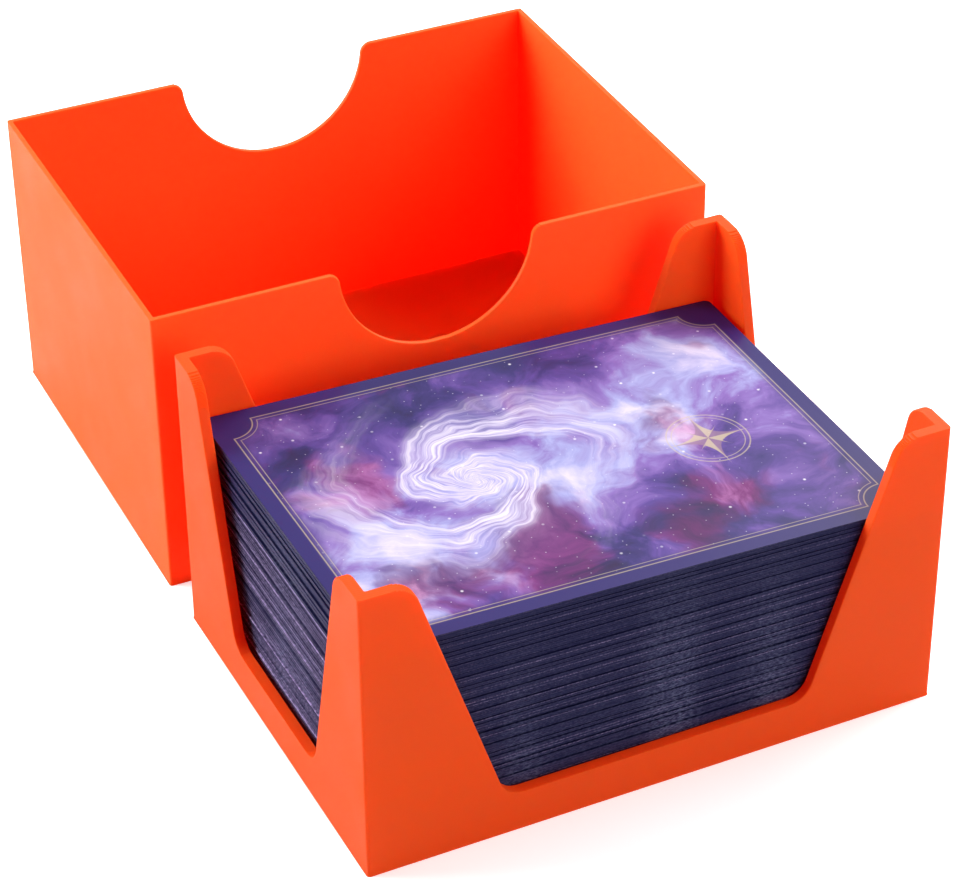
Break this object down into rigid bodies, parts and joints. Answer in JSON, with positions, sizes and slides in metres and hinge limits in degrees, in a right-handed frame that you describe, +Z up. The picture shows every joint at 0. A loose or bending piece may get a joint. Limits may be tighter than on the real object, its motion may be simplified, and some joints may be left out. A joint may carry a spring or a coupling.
{
  "type": "card deck box",
  "caption": "Two-piece box for a sleeved card deck: an open tray with four tapered corner posts, and a thin-walled cover with a half-round thumb notch in each long side.",
  "frame": {"origin": "centre of the tray's underside, on the ground", "axes": "+X along the cards' long side to the right, +Y to the back, from the tray to the cover that stands beside it, +Z up"},
  "size_m": [0.1, 0.1526, 0.052],
  "materials": {
    "tray_plastic": "layer-printed, satin orange",
    "cover_plastic": "layer-printed, satin orange",
    "card_sleeve": "clear sleeve over a printed card, soft gloss"
  },
  "bodies": {
    "tray": {"tray": "tray_plastic"},
    "cover": {"cover": "cover_plastic"},
    "deck": {"sleeved_card_01": "card_sleeve", "sleeved_card_02": "card_sleeve", "sleeved_card_03": "card_sleeve", "sleeved_card_04": "card_sleeve", "sleeved_card_05": "card_sleeve", "sleeved_card_06": "card_sleeve", "sleeved_card_07": "card_sleeve", "sleeved_card_08": "card_sleeve", "sleeved_card_09": "card_sleeve", "sleeved_card_10": "card_sleeve", "sleeved_card_11": "card_sleeve", "sleeved_card_12": "card_sleeve", "sleeved_card_13": "card_sleeve", "sleeved_card_14": "card_sleeve", "sleeved_card_15": "card_sleeve", "sleeved_card_16": "card_sleeve", "sleeved_card_17": "card_sleeve", "sleeved_card_18": "card_sleeve", "sleeved_card_19": "card_sleeve", "sleeved_card_20": "card_sleeve", "sleeved_card_21": "card_sleeve", "sleeved_card_22": "card_sleeve", "sleeved_card_23": "card_sleeve", "sleeved_card_24": "card_sleeve", "sleeved_card_25": "card_sleeve", "sleeved_card_26": "card_sleeve", "sleeved_card_27": "card_sleeve", "sleeved_card_28": "card_sleeve", "sleeved_card_29": "card_sleeve", "sleeved_card_30": "card_sleeve", "sleeved_card_31": "card_sleeve", "sleeved_card_32": "card_sleeve", "sleeved_card_33": "card_sleeve", "sleeved_card_34": "card_sleeve", "sleeved_card_35": "card_sleeve", "sleeved_card_36": "card_sleeve", "sleeved_card_37": "card_sleeve", "sleeved_card_38": "card_sleeve", "sleeved_card_39": "card_sleeve", "sleeved_card_40": "card_sleeve", "sleeved_card_41": "card_sleeve", "sleeved_card_42": "card_sleeve", "sleeved_card_43": "card_sleeve", "sleeved_card_44": "card_sleeve", "sleeved_card_45": "card_sleeve", "sleeved_card_46": "card_sleeve", "sleeved_card_47": "card_sleeve", "sleeved_card_48": "card_sleeve", "sleeved_card_49": "card_sleeve", "sleeved_card_50": "card_sleeve", "sleeved_card_51": "card_sleeve", "sleeved_card_52": "card_sleeve", "sleeved_card_53": "card_sleeve", "sleeved_card_54": "card_sleeve", "sleeved_card_55": "card_sleeve", "sleeved_card_56": "card_sleeve", "sleeved_card_57": "card_sleeve", "sleeved_card_58": "card_sleeve"}
  },
  "joints": [
    {"name": "cover_lift", "type": "slide", "parent": "tray", "child": "cover", "axis": [0, 0, 1], "range_m": [0, 0.06]},
    {"name": "deck_lift", "type": "slide", "parent": "tray", "child": "deck", "axis": [0, 0, 1], "range_m": [0, 0.055]}
  ]
}
